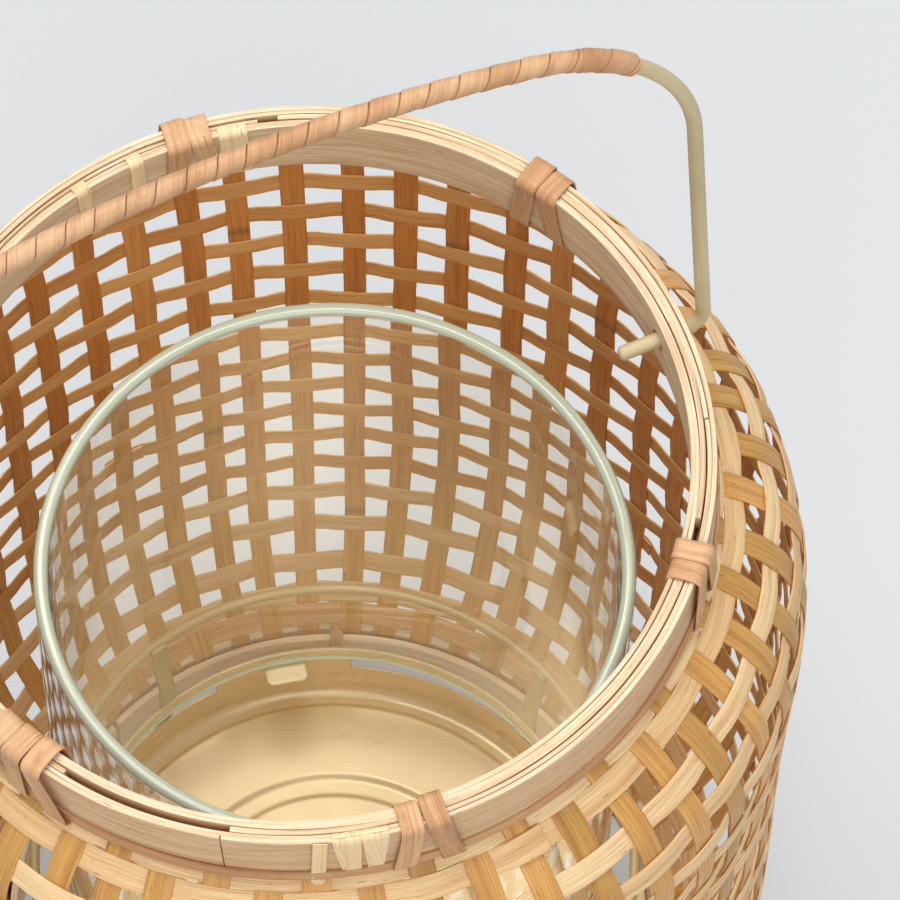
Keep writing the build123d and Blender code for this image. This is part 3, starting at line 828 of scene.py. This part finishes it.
def rim_hoops():
    """The hoops of the rim, the strips between them and the thin one round their foot."""
    drill_pivots(piece("rim_inner_strips", rim_hoop(RIM_INNER, (-0.35, -0.6), (212, 51)),
                       hoop_bamboo, "basket", ("rim_inner_hoop", "rim_inner_cap")))
    outer_from = RIM_OUTER - RIM_HOOP
    drill_pivots(piece("rim_outer_strips", rim_hoop(outer_from, (-0.7, -0.3), (8, 262)),
                       hoop_bamboo, "basket", ("rim_outer_hoop", "rim_outer_cap")))
    slot_from = RIM_INNER + RIM_HOOP + SLOT_PLAY
    slot_to = outer_from - SLOT_PLAY
    raffia_room = 0.55
    filler = [ring(RIM_HEIGHT, slot_from, slot_to - room, -FILLER_DEPTH, top, start, end, relief)
              for start, end, top, room, relief in (
                  (-8, 96, -0.5, 0, 0.25), (158, 238, -0.9, 0, 0.25), (263, 347, -0.4, 0, 0.25),
                  (99, 157, -0.3, raffia_room, 0.2))]
    piece("rim_filler_strips", filler, hoop_bamboo, "basket", ("rim_filler",))
    runner = ring(RIM_HEIGHT, RIM_OUTER + 0.15, RIM_OUTER + 0.85, -RIM_DEPTH - 0.3,
                  -RIM_DEPTH + 3.6, 190, 549, relief=0.06, top_points=3, face_points=5,
                  wobble=0.12)
    piece("rim_runner_strip", [runner], rattan, "basket", ("rim_runner",))


def rim_lashings():
    """The ties of the rim, each of two or three turns gathered on top of the hoops."""
    for number, gaps in enumerate(RIM_TIE_GAPS, start=1):
        middle = sum(gap_azimuth(gap) for gap in gaps) / len(gaps)
        gather = chance.uniform(0.4, 0.52)
        loops = []
        for turn, gap in enumerate(gaps):
            low_azimuth = gap_azimuth(gap)
            top_azimuth = middle + (low_azimuth - middle) * gather
            grow = 0.1 + 0.4 * turn
            loops.append(tie_loop(
                RIM_HEIGHT, (RIM_INNER - 0.5 - grow, -RIM_DEPTH - 0.6 - grow),
                (RIM_OUTER + 1.3 + grow, 0.3 + grow), top_azimuth, low_azimuth, 5.7, 0.6))
        piece(f"rim_lashing_{number}", loops, rattan, "basket", (f"rim_ties_{number}",))


def raffia_wraps():
    """Thin turns of raffia that hold the rim hoops, with the folded end of one of them."""
    thickness = 0.22
    slot_outside = RIM_OUTER - RIM_HOOP - 0.2
    loops = []
    for turn, azimuth in enumerate(RAFFIA_TURNS):
        slant = chance.uniform(-1.4, 1.4)
        grow = 0.12 * (turn % 3)
        loops.append(tie_loop(RIM_HEIGHT, (slot_outside, -RIM_DEPTH - 0.4 - grow),
                              (RIM_OUTER + 0.35 + grow, 0.2 + grow), azimuth, azimuth + slant,
                              3.6, thickness))
    for azimuth in INNER_RAFFIA_TURNS:
        loops.append(tie_loop(RIM_HEIGHT, (RIM_INNER - 0.3, -RIM_DEPTH - 0.4),
                              (slot_outside - 0.3, 0.25), azimuth, azimuth, 3.8, thickness))
    loops.append(raffia_end())
    piece("rim_raffia", loops, raffia, "basket")


def raffia_end():
    """The end of the raffia, which hangs down the outer hoop and narrows to a tip."""
    steps = 40
    share = np.linspace(0, 1, steps)
    drop = 0.4 - share * (RIM_DEPTH + 7)
    path = leaned(np.full(steps, RIM_OUTER + 0.6), RAFFIA_END - 1.2 * share,
                  np.full(steps, RIM_HEIGHT), drop)
    travel = along(path)
    azimuth = math.radians(RAFFIA_END)
    outward = np.broadcast_to([math.cos(azimuth), math.sin(azimuth), 0.0], travel.shape)
    outward = unit(outward - travel * (outward * travel).sum(1)[:, None])
    width = 3.4 * np.clip((1 - share) / 0.2, 0.12, 1)
    sections = strip_sections(steps, width, 0.25, 0.03, 5, 0.08)
    return sweep(path, np.cross(travel, outward), outward, sections, SIDES, 0.4)


def foot_parts():
    """The two hoops of the foot and the ties round them."""
    for side, inner, start in (("inner", FOOT_INNER, 140), ("outer", FOOT_OUTER - FOOT_HOOP, 320)):
        hoop = ring(0, inner, inner + FOOT_HOOP, 0.2, FOOT_DEPTH - 0.2, start, start + 359,
                    wobble=0.1)
        piece(f"foot_{side}_strip", [hoop], foot_bamboo, "basket",
              (f"foot_{side}_hoop",))
    loops = [tie_loop(0, (FOOT_INNER - 0.6, 0.6), (FOOT_OUTER + 0.6, FOOT_DEPTH + 0.5),
                      gap_azimuth(gap), gap_azimuth(gap), 4.0) for gap in FOOT_TIE_GAPS]
    piece("foot_lashings", loops, rattan, "basket", ("foot_ties",))


def bail_grip():
    """The strip wound round the top of the wire, and a band over each end of it."""
    grip = corner_length(GRIP_END)
    band = corner_length(BAND_END)
    piece("grip_strip", [winding(-grip, grip, GRIP_RADIUS, GRIP_PITCH, GRIP_LIP)], grip_rattan,
          "bail", ("grip_winding",))
    overlap = 2
    for label, start, end in (("right", grip - overlap, band), ("left", -band, overlap - grip)):
        piece(f"grip_binding_{label}", [winding(start, end, BAND_RADIUS, BAND_PITCH, BAND_LIP)],
              grip_rattan, "bail", (f"grip_band_{label}",))


def glass():
    """The glass tube, turned from its section, with materials of their own for walls and ends."""
    outer, inner = GLASS_RADIUS, GLASS_RADIUS - GLASS_WALL
    top = GLASS_FOOT + GLASS_HEIGHT
    corner = GLASS_CORNER
    # Rows next to the corners keep the walls flat where they are shaded
    near, far = corner + 0.6, corner + 2
    rows = np.concatenate([[near, far], np.linspace(12, GLASS_HEIGHT - 12, 8),
                           [GLASS_HEIGHT - far, GLASS_HEIGHT - near]])
    outer_wall = np.stack([np.full(len(rows), outer), top - rows], -1)
    inner_wall = np.stack([np.full(len(rows), inner), GLASS_FOOT + rows], -1)
    no_wall = np.empty((0, 2))
    section = []
    for radius, height, first, wall_points in (
            (outer - corner, top - corner, 90, outer_wall),
            (outer - corner, GLASS_FOOT + corner, 0, no_wall),
            (inner + corner, GLASS_FOOT + corner, -90, inner_wall),
            (inner + corner, top - corner, -180, no_wall)):
        turn = np.radians(np.linspace(first, first - 90, 9))
        section += [np.stack([radius + corner * np.cos(turn), height + corner * np.sin(turn)], -1),
                    wall_points]
    section = np.concatenate(section)
    steps = 256
    turn = np.linspace(0, 2 * np.pi, steps, endpoint=False)
    out = np.stack([np.cos(turn), np.sin(turn), np.zeros(steps)], -1)
    up = np.broadcast_to([0.0, 0.0, 1.0], out.shape)
    tube = sweep(np.zeros((steps, 3)), out, up, np.broadcast_to(section, (steps,) + section.shape),
                 closed=True, run=turn * outer)
    made = piece("glass_tube", [tube], clear_glass(), "glass", ("glass_cylinder",))
    made.data.materials.append(glass_edge())
    for face in made.data.polygons:
        off_middle = abs(face.center.z / MM - (GLASS_FOOT + top) / 2)
        face.material_index = 1 if off_middle > GLASS_HEIGHT / 2 - corner else 0


def give(material, *nodes):
    """A CAD node's own mesh gets a material."""
    for name in nodes:
        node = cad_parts[name]
        node.data.materials.clear()
        node.data.materials.append(material)


def floor():
    """A pale floor, a little brighter than its lamps make it."""
    shader = Shader("floor", Roughness=0.7, Specular_IOR_Level=0.2, Emission_Strength=0.24,
                    Emission_Color=(0.95, 0.98, 1.0, 1.0))
    cloud = shader.noise(shader.add("ShaderNodeTexCoord").outputs["Object"], 3.0, 2.0)
    shader.link(shader.mix(shader.spread(cloud, 0.3, 0.7), linear(174, 176, 178),
                           linear(171, 173, 175)), "Base Color")
    mesh = bpy.data.meshes.new("floor")
    half = 4.0
    mesh.from_pydata([(-half, -half, 0), (half, -half, 0), (half, half, 0), (-half, half, 0)], [],
                     [(0, 1, 2, 3)])
    mesh.materials.append(shader.material)
    made = placed("floor", mesh)
    made.location.z = -0.0005


def light():
    """A pale world, a soft lamp overhead and a weaker one from the front."""
    world = bpy.data.worlds.new("studio")
    bpy.context.scene.world = world
    world.use_nodes = True
    background = world.node_tree.nodes["Background"]
    background.inputs["Color"].default_value = (0.95, 0.97, 1.0, 1.0)
    background.inputs["Strength"].default_value = 0.55
    for name, place, aim, size, power in (
            ("softbox", (-0.35, 0.45, 2.3), (0, 0, 0.1), 1.5, 38.0),
            ("fill", (0.3, -1.7, 1.9), (0, 0, 0.2), 1.8, 26.0)):
        lamp = bpy.data.lights.new(name, "AREA")
        lamp.shape = "DISK"
        lamp.size = size
        lamp.energy = power
        lamp.color = (1.0, 0.985, 0.96)
        holder = placed(name, lamp)
        holder.location = place
        holder.rotation_euler = (Vector(aim) - Vector(place)).to_track_quat("-Z", "Y").to_euler()


def camera():
    """The photograph's view: steeply down on the mouth of the basket."""
    lens = bpy.data.cameras.new("camera")
    lens.lens = CAMERA_LENS
    lens.sensor_width = 36.0
    lens.clip_start = 0.1
    lens.clip_end = 20.0
    eye = placed("camera", lens)
    eye.matrix_world = (Matrix.Translation(CAMERA_PLACE)
                        @ Matrix.Rotation(math.radians(90 - CAMERA_DOWN), 4, "X")
                        @ Matrix.Rotation(math.radians(CAMERA_ROLL), 4, "Z"))
    bpy.context.scene.camera = eye
    bpy.context.scene.view_settings.view_transform = "Standard"


floor()
light()
camera()
basket_weave()
rim_hoops()
rim_lashings()
raffia_wraps()
foot_parts()
bail_grip()
glass()
give(pan_paint, "pan", "cross_bar_upper", "cross_bar_lower")
give(ring_paint, "guard_posts", "guard_ring")
give(wire_paint, "bail_wire")
give(nail_steel, "hoop_nails")
